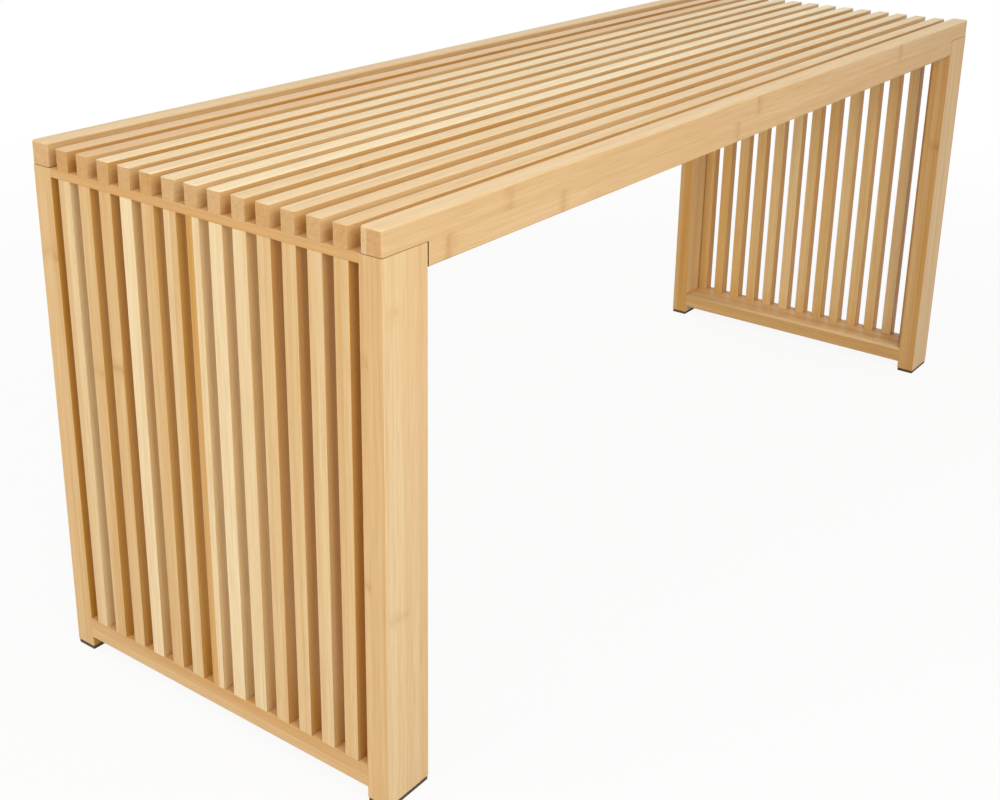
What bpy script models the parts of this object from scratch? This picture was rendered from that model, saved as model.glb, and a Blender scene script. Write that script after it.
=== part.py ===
"""Slatted bamboo bench, built up from its separate pieces.

The seat is two deep side rails with a row of slats between them, carried on battens.
Each end is a frame of two posts and two crossbars, filled with upright slats on stub tenons.
The rails are notched at their ends, sit over the posts and are pinned to them with dowels.
Units are metres, +X runs along the bench, +Y to its back and +Z up; the floor is at z = 0.
"""
from math import pi

import bmesh
import bpy
from mathutils import Vector

MM = 0.001

# Overall size
BENCH_LENGTH = 1070 * MM
BENCH_DEPTH = 355 * MM
BENCH_HEIGHT = 450 * MM

# Side rails of the seat
RAIL_THICKNESS = 18.5 * MM
RAIL_DEPTH = 37.5 * MM
RAIL_OVER_POST = 19.5 * MM
RAIL_SEAT_GAP = 0.5 * MM
SHOULDER_GAP = 1.6 * MM

# Seat slats and the battens under them
SLAT_COUNT = 13
SLAT_WIDTH = 13.4 * MM
SLAT_HEIGHT = 17.0 * MM
BATTEN_COUNT = 3
BATTEN_WIDTH = 40 * MM
BATTEN_HEIGHT = 14 * MM
BATTEN_SHOULDER = 3 * MM
BATTEN_TENON = 6 * MM

# Posts, crossbars and upright slats of the end frames
POST_WIDTH = 46 * MM
POST_THICKNESS = 20 * MM
UPPER_BAR_HEIGHT = 7 * MM
LOWER_BAR_HEIGHT = 19.5 * MM
LOWER_BAR_CLEARANCE = 8.5 * MM
LOWER_BAR_INNER_ROUND = 4 * MM
BAR_SIDE_SHOULDER = 8 * MM
UPPER_BAR_SHOULDER = 1.5 * MM
LOWER_BAR_SHOULDER = 4 * MM
UPPER_BAR_TENON = 5 * MM
LOWER_BAR_TENON = 11 * MM
UPRIGHT_THICKNESS = 12.5 * MM
LEFT_UPRIGHT_MARGIN = 8.8 * MM
RIGHT_UPRIGHT_MARGIN = 0.8 * MM
UPRIGHT_SHOULDER = 2.5 * MM
UPRIGHT_TOP_TENON = 4 * MM
UPRIGHT_FOOT_TENON = 9 * MM

# Dowels that pin the rails to the posts
DOWEL_DIAMETER = 8 * MM
DOWEL_IN_POST = 20 * MM
DOWEL_IN_RAIL = 11 * MM
DOWEL_SIDES = 16

# Foot pads under the posts
PAD_HEIGHT = 3.5 * MM
PAD_INSET = 0.2 * MM

# Fits and edges
FIT_GAP = 0.3 * MM
EDGE_ROUND = 1.4 * MM
PAD_EDGE_ROUND = 0.6 * MM
EDGE_STEPS = 2
INNER_ROUND_STEPS = 3
CUTTER_REACH = 5 * MM

# Levels above the floor
POST_FOOT = PAD_HEIGHT
POST_TOP = BENCH_HEIGHT - RAIL_OVER_POST
RAIL_BOTTOM = BENCH_HEIGHT - RAIL_DEPTH
SLAT_BOTTOM = POST_TOP + FIT_GAP
UPPER_BAR_BOTTOM = POST_TOP - UPPER_BAR_HEIGHT
LOWER_BAR_BOTTOM = POST_FOOT + LOWER_BAR_CLEARANCE
LOWER_BAR_TOP = LOWER_BAR_BOTTOM + LOWER_BAR_HEIGHT
UPRIGHT_BOTTOM = LOWER_BAR_TOP + FIT_GAP
UPRIGHT_TOP = UPPER_BAR_BOTTOM - FIT_GAP

# Places along and across the bench
LEFT_END = -BENCH_LENGTH / 2
FRONT_FACE = -BENCH_DEPTH / 2
POST_INNER_X = LEFT_END + POST_WIDTH
POST_INNER_Y = FRONT_FACE + POST_THICKNESS
RAIL_INNER_Y = FRONT_FACE + RAIL_THICKNESS
POST_CENTRE_X = LEFT_END + POST_WIDTH / 2
DOWEL_Y = FRONT_FACE + RAIL_THICKNESS / 2
DOWEL_HOLE_DIAMETER = DOWEL_DIAMETER + 2 * FIT_GAP
SLAT_GAP = (BENCH_DEPTH - 2 * RAIL_THICKNESS - SLAT_COUNT * SLAT_WIDTH) / (SLAT_COUNT + 1)
BATTEN_PITCH = (BENCH_LENGTH - 2 * POST_WIDTH) / (BATTEN_COUNT + 1)

# Finishes: colour, roughness
BAMBOO = ("natural_bamboo", (0.64, 0.42, 0.21, 1.0), 0.5)
DOWEL_WOOD = ("dowel_beech", (0.60, 0.43, 0.26, 1.0), 0.6)
PAD_RUBBER = ("foot_pad_rubber", (0.025, 0.018, 0.014, 1.0), 0.8)


def row_places(count, pitch):
    """Centres of a row of like pieces, spread evenly about zero."""
    return [(index - (count - 1) / 2) * pitch for index in range(count)]


def clear_scene():
    for item in list(bpy.data.objects):
        bpy.data.objects.remove(item)


def new_collection(name):
    collection = bpy.data.collections.new(name)
    bpy.context.scene.collection.children.link(collection)
    return collection


def new_material(finish):
    name, colour, roughness = finish
    material = bpy.data.materials.new(name)
    material.use_nodes = True
    shader = material.node_tree.nodes["Principled BSDF"]
    shader.inputs["Base Color"].default_value = colour
    shader.inputs["Roughness"].default_value = roughness
    shader.inputs["Metallic"].default_value = 0.0
    return material


def add_box(mesh_builder, low, high):
    """Add one box between two corners to a bmesh."""
    low = Vector(low)
    high = Vector(high)
    made = bmesh.ops.create_cube(mesh_builder, size=1.0)
    bmesh.ops.scale(mesh_builder, vec=high - low, verts=made["verts"])
    bmesh.ops.translate(mesh_builder, vec=(low + high) / 2, verts=made["verts"])


def boxes_object(name, boxes, collection):
    """An object made of one or more separate boxes, each given by its low and high corner."""
    mesh_builder = bmesh.new()
    for low, high in boxes:
        add_box(mesh_builder, low, high)
    mesh = bpy.data.meshes.new(name)
    mesh_builder.to_mesh(mesh)
    mesh_builder.free()
    item = bpy.data.objects.new(name, mesh)
    collection.objects.link(item)
    return item


def rods_object(name, feet, length, diameter, collection):
    """An object made of upright round rods of one length, each standing on a foot point."""
    mesh_builder = bmesh.new()
    for foot in feet:
        made = bmesh.ops.create_cone(
            mesh_builder,
            cap_ends=True,
            segments=DOWEL_SIDES,
            radius1=diameter / 2,
            radius2=diameter / 2,
            depth=length,
        )
        centre = Vector(foot) + Vector((0, 0, length / 2))
        bmesh.ops.translate(mesh_builder, vec=centre, verts=made["verts"])
    mesh = bpy.data.meshes.new(name)
    mesh_builder.to_mesh(mesh)
    mesh_builder.free()
    item = bpy.data.objects.new(name, mesh)
    collection.objects.link(item)
    return item


def hide_tool(item):
    item.hide_render = True
    item.display_type = "WIRE"
    return item


def edge_axis(edge):
    """The axis, X, Y or Z, that an edge of a box runs along."""
    run = edge.verts[1].co - edge.verts[0].co
    return max("XYZ", key=lambda axis: abs(run["XYZ".index(axis)]))


def round_edges(item, radius, along="XYZ", inner_top_radius=0, steps=EDGE_STEPS):
    """Round the edges that run along the given axes, and the upper edge on the +X side more where asked."""
    widest = max(radius, inner_top_radius)
    mesh_builder = bmesh.new()
    mesh_builder.from_mesh(item.data)
    weight = mesh_builder.edges.layers.float.new("bevel_weight_edge")
    far = max(vert.co.x for vert in mesh_builder.verts)
    high = max(vert.co.z for vert in mesh_builder.verts)
    for edge in mesh_builder.edges:
        if edge_axis(edge) in along:
            edge[weight] = radius / widest
        if inner_top_radius and all(vert.co.x == far and vert.co.z == high for vert in edge.verts):
            edge[weight] = inner_top_radius / widest
    mesh_builder.to_mesh(item.data)
    mesh_builder.free()
    bevel = item.modifiers.new("rounded edges", "BEVEL")
    bevel.width = widest
    bevel.segments = steps
    bevel.limit_method = "WEIGHT"


def combine(item, tool, operation):
    boolean = item.modifiers.new(operation.lower(), "BOOLEAN")
    boolean.operation = operation
    boolean.solver = "EXACT"
    boolean.object = hide_tool(tool)


def finished_mesh(item, centre):
    """The item's mesh with its modifiers worked in, moved so that the centre becomes its origin."""
    bpy.context.view_layer.update()
    evaluated = item.evaluated_get(bpy.context.evaluated_depsgraph_get())
    mesh = bpy.data.meshes.new_from_object(evaluated)
    mesh.name = item.name
    mesh_builder = bmesh.new()
    mesh_builder.from_mesh(mesh)
    bmesh.ops.translate(mesh_builder, vec=-Vector(centre), verts=mesh_builder.verts)
    mesh_builder.to_mesh(mesh)
    mesh_builder.free()
    bpy.data.objects.remove(item)
    return mesh


class Workshop:
    """Holds the collections, finishes and sub-assemblies, and sets finished pieces in place."""

    def __init__(self):
        self.parts = new_collection("bamboo_bench")
        self.tools = new_collection("cutters")
        self.bamboo = new_material(BAMBOO)
        self.dowel_wood = new_material(DOWEL_WOOD)
        self.pad_rubber = new_material(PAD_RUBBER)
        self.bench = self.assembly("bench", None)
        self.seat = self.assembly("seat_frame", self.bench)
        self.left_end = self.assembly("left_end_frame", self.bench)
        self.right_end = self.assembly("right_end_frame", self.bench)

    def assembly(self, name, parent):
        empty = bpy.data.objects.new(name, None)
        empty.parent = parent
        self.parts.objects.link(empty)
        return empty

    def ends(self):
        """Name, post centre and sub-assembly of each end frame."""
        return (("left", POST_CENTRE_X, self.left_end), ("right", -POST_CENTRE_X, self.right_end))

    def place(self, name, mesh, centre, parent, material, turned=False):
        """Set one piece in place; a turned one stands opposite, swung half round the bench's middle."""
        piece = bpy.data.objects.new(name, mesh)
        piece.parent = parent
        x, y, z = centre
        piece.location = (-x, -y, z) if turned else (x, y, z)
        piece.rotation_euler = (0, 0, pi) if turned else (0, 0, 0)
        if not mesh.materials:
            mesh.materials.append(material)
        self.parts.objects.link(piece)
        return piece


def make_rails(shop):
    """Side rails, notched over the posts, with sockets for the batten tenons and the dowels."""
    blank = boxes_object(
        "rail",
        [((LEFT_END, FRONT_FACE, RAIL_BOTTOM), (-LEFT_END, RAIL_INNER_Y, BENCH_HEIGHT))],
        shop.parts,
    )
    shoulder = POST_INNER_X + SHOULDER_GAP
    notch_low_y = FRONT_FACE - CUTTER_REACH
    notch_high_y = RAIL_INNER_Y + CUTTER_REACH
    notch_bottom = RAIL_BOTTOM - CUTTER_REACH
    notch_top = POST_TOP + RAIL_SEAT_GAP
    notches = boxes_object(
        "rail_notches",
        [
            ((LEFT_END - CUTTER_REACH, notch_low_y, notch_bottom), (shoulder, notch_high_y, notch_top)),
            ((-shoulder, notch_low_y, notch_bottom), (-LEFT_END + CUTTER_REACH, notch_high_y, notch_top)),
        ],
        shop.tools,
    )
    round_edges(blank, EDGE_ROUND)
    combine(blank, notches, "DIFFERENCE")

    socket_half = BATTEN_WIDTH / 2 - BATTEN_SHOULDER + FIT_GAP
    socket_back = RAIL_INNER_Y - BATTEN_TENON - FIT_GAP
    socket_bottom = POST_TOP - BATTEN_HEIGHT + BATTEN_SHOULDER - FIT_GAP
    socket_top = POST_TOP - BATTEN_SHOULDER + FIT_GAP
    sockets = boxes_object(
        "rail_sockets",
        [
            ((x - socket_half, socket_back, socket_bottom), (x + socket_half, notch_high_y, socket_top))
            for x in row_places(BATTEN_COUNT, BATTEN_PITCH)
        ],
        shop.tools,
    )
    combine(blank, sockets, "DIFFERENCE")

    hole_feet = [(x, DOWEL_Y, POST_TOP - CUTTER_REACH) for x in (POST_CENTRE_X, -POST_CENTRE_X)]
    hole_length = CUTTER_REACH + RAIL_SEAT_GAP + DOWEL_IN_RAIL + FIT_GAP
    holes = rods_object("rail_dowel_holes", hole_feet, hole_length, DOWEL_HOLE_DIAMETER, shop.tools)
    combine(blank, holes, "DIFFERENCE")

    centre = (0, (FRONT_FACE + RAIL_INNER_Y) / 2, (RAIL_BOTTOM + BENCH_HEIGHT) / 2)
    mesh = finished_mesh(blank, centre)
    shop.place("front_rail", mesh, centre, shop.seat, shop.bamboo)
    shop.place("back_rail", mesh, centre, shop.seat, shop.bamboo, turned=True)


def make_seat_slats(shop):
    """Seat slats, full length, lying on the upper crossbars and the battens."""
    half_width = SLAT_WIDTH / 2
    blank = boxes_object(
        "seat_slat",
        [((LEFT_END, -half_width, SLAT_BOTTOM), (-LEFT_END, half_width, SLAT_BOTTOM + SLAT_HEIGHT))],
        shop.parts,
    )
    round_edges(blank, EDGE_ROUND)
    height = SLAT_BOTTOM + SLAT_HEIGHT / 2
    mesh = finished_mesh(blank, (0, 0, height))
    for index, y in enumerate(row_places(SLAT_COUNT, SLAT_WIDTH + SLAT_GAP)):
        shop.place(f"seat_slat_{index + 1:02d}", mesh, (0, y, height), shop.seat, shop.bamboo)


def make_battens(shop):
    """Battens across the underside of the slats, with a stub tenon at each end in the rails."""
    reach = -RAIL_INNER_Y - FIT_GAP
    half_width = BATTEN_WIDTH / 2
    bottom = POST_TOP - BATTEN_HEIGHT
    low = (-half_width, -reach, bottom)
    high = (half_width, reach, POST_TOP)
    blank = boxes_object("batten", [(low, high)], shop.parts)
    round_edges(blank, EDGE_ROUND, along="Y")
    tenon_reach = -RAIL_INNER_Y + BATTEN_TENON
    tenon_half = half_width - BATTEN_SHOULDER
    tenons = boxes_object(
        "batten_tenons",
        [
            (
                (-tenon_half, -tenon_reach, bottom + BATTEN_SHOULDER),
                (tenon_half, tenon_reach, POST_TOP - BATTEN_SHOULDER),
            )
        ],
        shop.tools,
    )
    combine(blank, tenons, "UNION")
    height = POST_TOP - BATTEN_HEIGHT / 2
    mesh = finished_mesh(blank, (0, 0, height))
    for index, x in enumerate(row_places(BATTEN_COUNT, BATTEN_PITCH)):
        shop.place(f"seat_batten_{index + 1}", mesh, (x, 0, height), shop.seat, shop.bamboo)


def bar_tenon_box(bottom, top, shoulder, tenon, clearance):
    """Core of a crossbar that shows at its ends as tenons; with a clearance it is their socket."""
    reach = -POST_INNER_Y + tenon + clearance
    return (
        (LEFT_END + BAR_SIDE_SHOULDER - clearance, -reach, bottom + shoulder - clearance),
        (POST_INNER_X - BAR_SIDE_SHOULDER + clearance, reach, top - shoulder + clearance),
    )


def upright_sockets(places, bottom, top):
    """Sockets for the tenons of a row of upright slats, between two levels, as in the left end frame."""
    half = SLAT_WIDTH / 2 - UPRIGHT_SHOULDER + FIT_GAP
    outer = LEFT_END + UPRIGHT_SHOULDER - FIT_GAP
    inner = LEFT_END + UPRIGHT_THICKNESS - UPRIGHT_SHOULDER + FIT_GAP
    return [((outer, y - half, bottom), (inner, y + half, top)) for y in places]


def crossbar_mesh(shop, label, blank, tenon_box, sockets, centre):
    """A rounded bar with its end tenons and its row of slat sockets."""
    combine(blank, boxes_object(label + "_tenons", [tenon_box], shop.tools), "UNION")
    combine(blank, boxes_object(label + "_sockets", sockets, shop.tools), "DIFFERENCE")
    return finished_mesh(blank, centre)


def make_crossbars(shop, side, places, parent, turned):
    """Upper and lower crossbar of one end frame."""
    reach = -POST_INNER_Y - FIT_GAP

    label = side + "_upper_crossbar"
    low = (LEFT_END, -reach, UPPER_BAR_BOTTOM)
    blank = boxes_object(label, [(low, (POST_INNER_X, reach, POST_TOP))], shop.parts)
    round_edges(blank, EDGE_ROUND, along="Y")
    tenons = bar_tenon_box(UPPER_BAR_BOTTOM, POST_TOP, UPPER_BAR_SHOULDER, UPPER_BAR_TENON, 0)
    socket_top = UPRIGHT_TOP + UPRIGHT_TOP_TENON + FIT_GAP
    sockets = upright_sockets(places, UPPER_BAR_BOTTOM - CUTTER_REACH, socket_top)
    centre = (POST_CENTRE_X, 0, (UPPER_BAR_BOTTOM + POST_TOP) / 2)
    mesh = crossbar_mesh(shop, label, blank, tenons, sockets, centre)
    shop.place(label, mesh, centre, parent, shop.bamboo, turned)

    label = side + "_lower_crossbar"
    low = (LEFT_END, -reach, LOWER_BAR_BOTTOM)
    blank = boxes_object(label, [(low, (POST_INNER_X, reach, LOWER_BAR_TOP))], shop.parts)
    round_edges(blank, EDGE_ROUND, "Y", LOWER_BAR_INNER_ROUND, INNER_ROUND_STEPS)
    tenons = bar_tenon_box(LOWER_BAR_BOTTOM, LOWER_BAR_TOP, LOWER_BAR_SHOULDER, LOWER_BAR_TENON, 0)
    socket_bottom = UPRIGHT_BOTTOM - UPRIGHT_FOOT_TENON - FIT_GAP
    sockets = upright_sockets(places, socket_bottom, LOWER_BAR_TOP + CUTTER_REACH)
    centre = (POST_CENTRE_X, 0, (LOWER_BAR_BOTTOM + LOWER_BAR_TOP) / 2)
    mesh = crossbar_mesh(shop, label, blank, tenons, sockets, centre)
    shop.place(label, mesh, centre, parent, shop.bamboo, turned)


def make_posts(shop):
    """Corner posts with sockets for both crossbars and a dowel hole in the top."""
    blank = boxes_object(
        "post",
        [((LEFT_END, FRONT_FACE, POST_FOOT), (POST_INNER_X, POST_INNER_Y, POST_TOP))],
        shop.parts,
    )
    round_edges(blank, EDGE_ROUND, along="Z")
    sockets = boxes_object(
        "post_sockets",
        [
            bar_tenon_box(UPPER_BAR_BOTTOM, POST_TOP, UPPER_BAR_SHOULDER, UPPER_BAR_TENON, FIT_GAP),
            bar_tenon_box(LOWER_BAR_BOTTOM, LOWER_BAR_TOP, LOWER_BAR_SHOULDER, LOWER_BAR_TENON, FIT_GAP),
        ],
        shop.tools,
    )
    combine(blank, sockets, "DIFFERENCE")
    hole_depth = DOWEL_IN_POST + FIT_GAP
    hole_foot = (POST_CENTRE_X, DOWEL_Y, POST_TOP - hole_depth)
    hole_length = hole_depth + CUTTER_REACH
    hole = rods_object("post_dowel_hole", [hole_foot], hole_length, DOWEL_HOLE_DIAMETER, shop.tools)
    combine(blank, hole, "DIFFERENCE")
    centre = (POST_CENTRE_X, (FRONT_FACE + POST_INNER_Y) / 2, (POST_FOOT + POST_TOP) / 2)
    front_left = finished_mesh(blank, centre)
    mirrored = (-centre[0], centre[1], centre[2])
    shop.place("front_left_post", front_left, centre, shop.left_end, shop.bamboo)
    shop.place("front_right_post", front_left, mirrored, shop.right_end, shop.bamboo)
    shop.place("back_right_post", front_left, centre, shop.right_end, shop.bamboo, turned=True)
    shop.place("back_left_post", front_left, mirrored, shop.left_end, shop.bamboo, turned=True)


def upright_mesh(shop, centre):
    """An upright slat, flush with the outer face of its frame, with a stub tenon top and bottom."""
    half = SLAT_WIDTH / 2
    blank = boxes_object(
        "upright",
        [((LEFT_END, -half, UPRIGHT_BOTTOM), (LEFT_END + UPRIGHT_THICKNESS, half, UPRIGHT_TOP))],
        shop.parts,
    )
    round_edges(blank, EDGE_ROUND, along="Z")
    tenon_half = half - UPRIGHT_SHOULDER
    core = (
        (LEFT_END + UPRIGHT_SHOULDER, -tenon_half, UPRIGHT_BOTTOM - UPRIGHT_FOOT_TENON),
        (LEFT_END + UPRIGHT_THICKNESS - UPRIGHT_SHOULDER, tenon_half, UPRIGHT_TOP + UPRIGHT_TOP_TENON),
    )
    combine(blank, boxes_object("upright_tenons", [core], shop.tools), "UNION")
    return finished_mesh(blank, centre)


def make_panels(shop):
    """Crossbars and upright slats of both end frames; the right frame is the left one turned round."""
    x = LEFT_END + UPRIGHT_THICKNESS / 2
    z = (UPRIGHT_BOTTOM + UPRIGHT_TOP) / 2
    slat = upright_mesh(shop, (x, 0, z))
    for side, margin, parent, turned in (
        ("left", LEFT_UPRIGHT_MARGIN, shop.left_end, False),
        ("right", RIGHT_UPRIGHT_MARGIN, shop.right_end, True),
    ):
        reach = -POST_INNER_Y - margin - SLAT_WIDTH / 2
        places = row_places(SLAT_COUNT, 2 * reach / (SLAT_COUNT - 1))
        make_crossbars(shop, side, places, parent, turned)
        for index, y in enumerate(places):
            across = -y if turned else y
            name = f"{side}_panel_slat_{index + 1:02d}"
            shop.place(name, slat, (x, across, z), parent, shop.bamboo, turned)


def make_dowels(shop):
    """Dowels standing in the post tops and reaching up into the rails."""
    foot = POST_TOP - DOWEL_IN_POST
    length = DOWEL_IN_POST + RAIL_SEAT_GAP + DOWEL_IN_RAIL
    blank = rods_object("dowel", [(0, 0, foot)], length, DOWEL_DIAMETER, shop.parts)
    height = foot + length / 2
    mesh = finished_mesh(blank, (0, 0, height))
    mesh.shade_smooth()
    mesh.set_sharp_from_angle(angle=pi / 4)
    for side, x, parent in shop.ends():
        shop.place(f"front_{side}_dowel", mesh, (x, DOWEL_Y, height), parent, shop.dowel_wood)
        shop.place(f"back_{side}_dowel", mesh, (x, -DOWEL_Y, height), parent, shop.dowel_wood)


def make_pads(shop):
    """Thin dark pads under the posts, a little smaller than the post's foot."""
    low = (LEFT_END + PAD_INSET, FRONT_FACE + PAD_INSET, 0)
    high = (POST_INNER_X - PAD_INSET, POST_INNER_Y - PAD_INSET, PAD_HEIGHT - FIT_GAP)
    blank = boxes_object("pad", [(low, high)], shop.parts)
    round_edges(blank, PAD_EDGE_ROUND)
    y = (FRONT_FACE + POST_INNER_Y) / 2
    z = (PAD_HEIGHT - FIT_GAP) / 2
    mesh = finished_mesh(blank, (POST_CENTRE_X, y, z))
    for side, x, parent in shop.ends():
        shop.place(f"front_{side}_foot_pad", mesh, (x, y, z), parent, shop.pad_rubber)
        shop.place(f"back_{side}_foot_pad", mesh, (x, -y, z), parent, shop.pad_rubber)


def main():
    clear_scene()
    shop = Workshop()
    make_rails(shop)
    make_seat_slats(shop)
    make_battens(shop)
    make_posts(shop)
    make_panels(shop)
    make_dowels(shop)
    make_pads(shop)


main()
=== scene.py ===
"""Looks of a slatted bamboo bench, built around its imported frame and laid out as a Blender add-on.

Each wooden piece is a rounded board of laminated bamboo. Its mesh is cut along the glue lines, and every
strip between them carries its own tone, seed and node places as attributes, which the bamboo finishes read.
Units are metres, +X runs along the bench, +Y to its back and +Z up, as in the frame.
"""

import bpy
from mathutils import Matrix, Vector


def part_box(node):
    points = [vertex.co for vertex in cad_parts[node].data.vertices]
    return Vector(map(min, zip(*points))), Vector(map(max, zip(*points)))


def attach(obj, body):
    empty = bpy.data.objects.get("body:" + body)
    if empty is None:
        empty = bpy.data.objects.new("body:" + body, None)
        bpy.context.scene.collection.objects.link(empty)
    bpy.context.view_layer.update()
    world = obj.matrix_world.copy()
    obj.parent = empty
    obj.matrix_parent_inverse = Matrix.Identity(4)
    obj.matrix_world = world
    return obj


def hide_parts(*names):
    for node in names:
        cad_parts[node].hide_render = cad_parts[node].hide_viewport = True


bl_info = {
    "name": "Slatted Bamboo Bench",
    "version": (1, 0, 0),
    "blender": (4, 5, 0),
    "location": "3D View > Sidebar > Bench",
    "description": "Dresses the frame of a slatted bench in laminated bamboo, in a plain white studio",
    "category": "Object",
}

import random
from collections import namedtuple
from math import radians

import bmesh
import bpy
from bpy.props import FloatProperty, FloatVectorProperty, PointerProperty
from mathutils import Matrix, Vector

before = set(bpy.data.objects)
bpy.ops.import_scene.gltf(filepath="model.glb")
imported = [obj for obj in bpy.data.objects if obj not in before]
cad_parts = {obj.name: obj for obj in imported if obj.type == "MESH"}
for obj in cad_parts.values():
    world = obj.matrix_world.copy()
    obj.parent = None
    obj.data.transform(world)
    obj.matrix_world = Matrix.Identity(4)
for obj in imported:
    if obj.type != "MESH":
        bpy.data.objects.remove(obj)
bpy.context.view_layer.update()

MM = 0.001
X, Y, Z = 0, 1, 2
TOUCH = 0.01 * MM
# Least share of a direction on an axis that counts as running along it
STRAIGHT = 0.999
# Nodes that a strip has room for, and where those are that it lacks
STRIP_NODES = 3
FAR_AWAY = 10.0
# Seeds of the strips' grain lie between zero and this
SEED_REACH = 200.0
WHITE = (1.0, 1.0, 1.0, 1.0)
BODY = "root"
CORNERS = ("front_left", "front_right", "back_left", "back_right")
ENDS = ("left", "right")
FACE_WORDS = {
    (X, False): "left",
    (X, True): "right",
    (Y, False): "front",
    (Y, True): "back",
    (Z, False): "under",
    (Z, True): "top",
}

# Sockets of a Mix node that mixes colours
FACTOR, FIRST, SECOND, MIXED = 0, 6, 7, 2


def linear(code):
    """Linear red, green and blue of an sRGB hex colour."""
    shares = [int(code[place:place + 2], 16) / 255 for place in (1, 3, 5)]
    return [share / 12.92 if share <= 0.04045 else ((share + 0.055) / 1.055) ** 2.4 for share in shares]


def length_value(name, description, size):
    return FloatProperty(
        name=name, description=description, default=size, min=0.0, subtype="DISTANCE", unit="LENGTH"
    )


def colour_value(name, description, code):
    return FloatVectorProperty(
        name=name, description=description, default=linear(code), min=0.0, max=1.0, size=3, subtype="COLOR"
    )


class BenchSizes(bpy.types.PropertyGroup):
    """Sizes of edges, joints and grain that a user may want to change"""

    edge_round: length_value("Edge round", "Radius of the sanded edges that a hand meets", 1.5 * MM)
    joint_round: length_value("Joint edge round", "Radius of edges where a flush piece meets", 0.25 * MM)
    post_round: length_value("Post round", "Radius of the posts' outer edges", 0.4 * MM)
    seat_round: length_value("Seat slat round", "Radius of the seat slats' top edges", 0.9 * MM)
    slat_round: length_value("Panel slat round", "Radius of the upright slats' outer edges", 0.5 * MM)
    slat_inner_round: length_value("Panel slat inner round", "Radius of their inner edges", 0.6 * MM)
    bar_round: length_value("Crossbar round", "Radius of the lower crossbar's inner top edge", 4 * MM)
    seat_gap: length_value("Seat gap", "Gap between the rail's tongue and the post top", 0.5 * MM)
    shoulder_gap: length_value("Shoulder gap", "Gap between the rail's shoulder and the post", 1.0 * MM)
    fibre_width: length_value("Fibre width", "Width of the fine fibre streaks", 1.1 * MM)
    fibre_length: length_value("Fibre length", "Length of the fine fibre streaks", 32 * MM)
    streak_width: length_value("Streak width", "Width of the broad streaks in a strip", 4.5 * MM)
    streak_length: length_value("Streak length", "Length of the broad streaks in a strip", 240 * MM)
    node_spacing: length_value("Node spacing", "Usual distance between a culm's nodes", 300 * MM)
    node_line: length_value("Node line", "Half the width of a node's dark line", 2.4 * MM)
    node_halo: length_value("Node halo", "Reach of the stain round a node", 12 * MM)
    pore_pitch: length_value("Bundle pitch", "Spacing of the fibre bundles in the end grain", 1.5 * MM)


class BenchColours(bpy.types.PropertyGroup):
    """Colours of the bench and its stage"""

    cream: colour_value("Cream", "Palest strips", "#EFD6A8")
    tan: colour_value("Tan", "Darkest strips", "#D09E58")
    blush: colour_value("Blush", "Pinkish strips", "#E0B688")
    # Golden tint painted on faces in shade, standing in for warm light bounced among the wood
    shade_gold: colour_value("Gold", "Tint painted on faces in shade", "#EABD62")
    fibre: colour_value("Fibre", "Fibre bundles along the grain", "#B98447")
    node: colour_value("Node", "Stain at the nodes", "#B97C41")
    end_grain: colour_value("End grain", "Cut ends of the strips", "#CA9C67")
    bundle: colour_value("Bundle", "Fibre bundles in the end grain", "#A87443")
    # Painted shade laid on the faces inside the joint gaps
    glue: colour_value("Glue", "Painted shade on the faces inside a joint", "#5E4123")
    dowel: colour_value("Dowel", "Beech dowels", "#D6B285")
    rubber: colour_value("Rubber", "Foot pads", "#43372C")
    floor: colour_value("Floor", "Studio floor", "#DAD7D2")


class BenchStage(bpy.types.PropertyGroup):
    """Light and camera of the studio"""

    end_power: FloatProperty(
        name="End power", description="Power of the soft box that faces the end", default=29.5, unit="POWER"
    )
    side_power: FloatProperty(
        name="Side power", description="Power of the soft box that faces the side", default=13.9, unit="POWER"
    )
    wall_light: FloatProperty(
        name="Wall light", description="Strength of the light from the level", default=0.2, min=0.0, max=1.0
    )
    ceiling_light: FloatProperty(
        name="Ceiling light", description="Strength of the light from above", default=0.94, min=0.0, max=1.0
    )
    lens: FloatProperty(
        name="Lens", description="Focal length of the camera", default=51.345, subtype="DISTANCE_CAMERA"
    )


# How one strip of bamboo looks: share of tan, share of blush or below zero of the golden tint painted on
# faces in shade, how strongly its nodes show, where they are, and how much its tone deepens over a metre of
# its length as painted shade
Strip = namedtuple("Strip", "tone blush mark nodes deepen", defaults=(0.0,))
TONES = {
    "ivory": -0.2,
    "cream": 0.0,
    "pale": 0.18,
    "straw": 0.35,
    "wheat": 0.5,
    "oat": 0.58,
    "honey": 0.65,
    "amber": 0.82,
    "tan": 1.0,
    "bronze": 1.1,
    # umber, the deepest, serves as painted shade on faces seen only in the gaps
    "umber": 1.2,
}

# How strips left to chance look: range of tones among faces, spread within a face, range of node marks and
# most blush
Mood = namedtuple("Mood", "tones spread marks blush")
RAIL_MOOD = Mood((0.35, 0.55), 0.08, (0.2, 0.5), 0.3)
# The seat slats' other faces take darker tones than their tops, painted shade for the gaps between the slats
SEAT_MOOD = Mood((0.55, 0.85), 0.08, (0.1, 0.3), 0.0)
HIDDEN_MOOD = Mood((0.3, 0.7), 0.12, (0.3, 0.6), 0.4)
POST_MOOD = Mood((0.45, 0.75), 0.08, (0.2, 0.5), 0.3)
BAR_MOOD = Mood((0.5, 0.75), 0.06, (0.1, 0.3), 0.2)
PANEL_MOOD = Mood((0.5, 0.9), 0.06, (0.1, 0.3), 0.2)


def strip(tone, *nodes, blush=0.0, shade_gold=0.0, mark=0.7, deepen=0.0):
    """A chosen strip; its nodes are given in millimetres along its piece.

    Where it deepens, a painted shade along its length, it has its tone at the zero of the frame's axis that
    it runs along.
    """
    return Strip(TONES[tone], blush - shade_gold, mark, [place * MM for place in nodes], deepen)


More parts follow.
